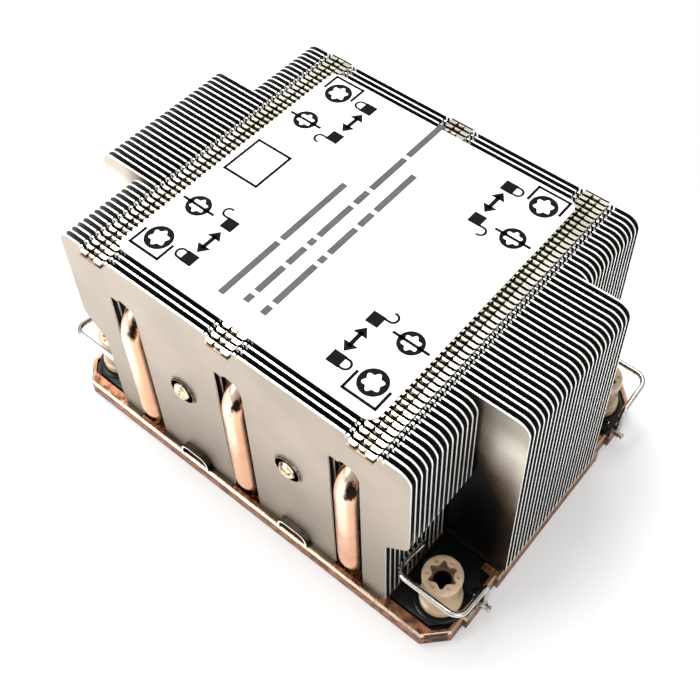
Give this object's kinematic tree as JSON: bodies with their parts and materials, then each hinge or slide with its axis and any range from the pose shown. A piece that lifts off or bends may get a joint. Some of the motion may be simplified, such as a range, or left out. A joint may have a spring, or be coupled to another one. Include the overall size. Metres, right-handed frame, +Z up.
{
  "type": "server cpu heatsink",
  "caption": "Passive server heatsink: copper base with bent heat pipes, a stack of folded aluminium fins, captive corner nuts and swinging wire bails.",
  "frame": {"origin": "centre of the flat underside of the base plate", "axes": "+X along the fins and the air flow, +Z up from the processor to the label, front at -Y, where the outer heat pipes bend"},
  "size_m": [0.111, 0.078, 0.0597],
  "materials": {
    "base_copper": "milled copper, bright bevels",
    "pipe_copper": "polished copper tube",
    "fin_aluminium": "plated sheet, satin, bright cut edges",
    "label_white": "matt white printed film",
    "nut_tan": "tan moulded polymer",
    "clip_black": "black spring steel",
    "bracket_black": "black moulding",
    "wire_steel": "bright spring wire"
  },
  "bodies": {
    "heatsink": {"base_plate": "base_copper", "front_bend_pipe_left": "pipe_copper", "front_bend_pipe_middle": "pipe_copper", "front_bend_pipe_right": "pipe_copper", "rear_bend_pipe_left": "pipe_copper", "rear_bend_pipe_right": "pipe_copper", "front_slotted_fins": "fin_aluminium", "front_narrow_fins": "fin_aluminium", "wide_fins": "fin_aluminium", "rear_narrow_fins": "fin_aluminium", "rear_slotted_fins": "fin_aluminium", "label": "label_white", "wire_bracket_front_left": "bracket_black", "wire_bracket_rear_left": "bracket_black", "wire_bracket_front_right": "bracket_black", "wire_bracket_rear_right": "bracket_black"},
    "nut_front_left": {"captive_nut_front_left": "nut_tan", "nut_clip_front_left": "clip_black"},
    "bail_front_left": {"wire_bail_front_left": "wire_steel"},
    "nut_rear_left": {"captive_nut_rear_left": "nut_tan", "nut_clip_rear_left": "clip_black"},
    "bail_rear_left": {"wire_bail_rear_left": "wire_steel"},
    "nut_front_right": {"captive_nut_front_right": "nut_tan", "nut_clip_front_right": "clip_black"},
    "bail_front_right": {"wire_bail_front_right": "wire_steel"},
    "nut_rear_right": {"captive_nut_rear_right": "nut_tan", "nut_clip_rear_right": "clip_black"},
    "bail_rear_right": {"wire_bail_rear_right": "wire_steel"}
  },
  "joints": [
    {"name": "nut_turn_front_left", "type": "hinge", "parent": "heatsink", "child": "nut_front_left", "pos_m": [-0.047, -0.03, 0.0078], "axis": [0, 0, 1], "continuous": true},
    {"name": "bail_swing_front_left", "type": "hinge", "parent": "heatsink", "child": "bail_front_left", "pos_m": [-0.0472, -0.0258, 0.006], "axis": [-1, 0, 0], "range_deg": [0, 70]},
    {"name": "nut_turn_rear_left", "type": "hinge", "parent": "heatsink", "child": "nut_rear_left", "pos_m": [-0.047, 0.03, 0.0078], "axis": [0, 0, 1], "continuous": true},
    {"name": "bail_swing_rear_left", "type": "hinge", "parent": "heatsink", "child": "bail_rear_left", "pos_m": [-0.0472, 0.0258, 0.006], "axis": [1, 0, 0], "range_deg": [0, 70]},
    {"name": "nut_turn_front_right", "type": "hinge", "parent": "heatsink", "child": "nut_front_right", "pos_m": [0.047, -0.03, 0.0078], "axis": [0, 0, 1], "continuous": true},
    {"name": "bail_swing_front_right", "type": "hinge", "parent": "heatsink", "child": "bail_front_right", "pos_m": [0.0472, -0.0258, 0.006], "axis": [-1, 0, 0], "range_deg": [0, 70]},
    {"name": "nut_turn_rear_right", "type": "hinge", "parent": "heatsink", "child": "nut_rear_right", "pos_m": [0.047, 0.03, 0.0078], "axis": [0, 0, 1], "continuous": true},
    {"name": "bail_swing_rear_right", "type": "hinge", "parent": "heatsink", "child": "bail_rear_right", "pos_m": [0.0472, 0.0258, 0.006], "axis": [1, 0, 0], "range_deg": [0, 70]}
  ]
}
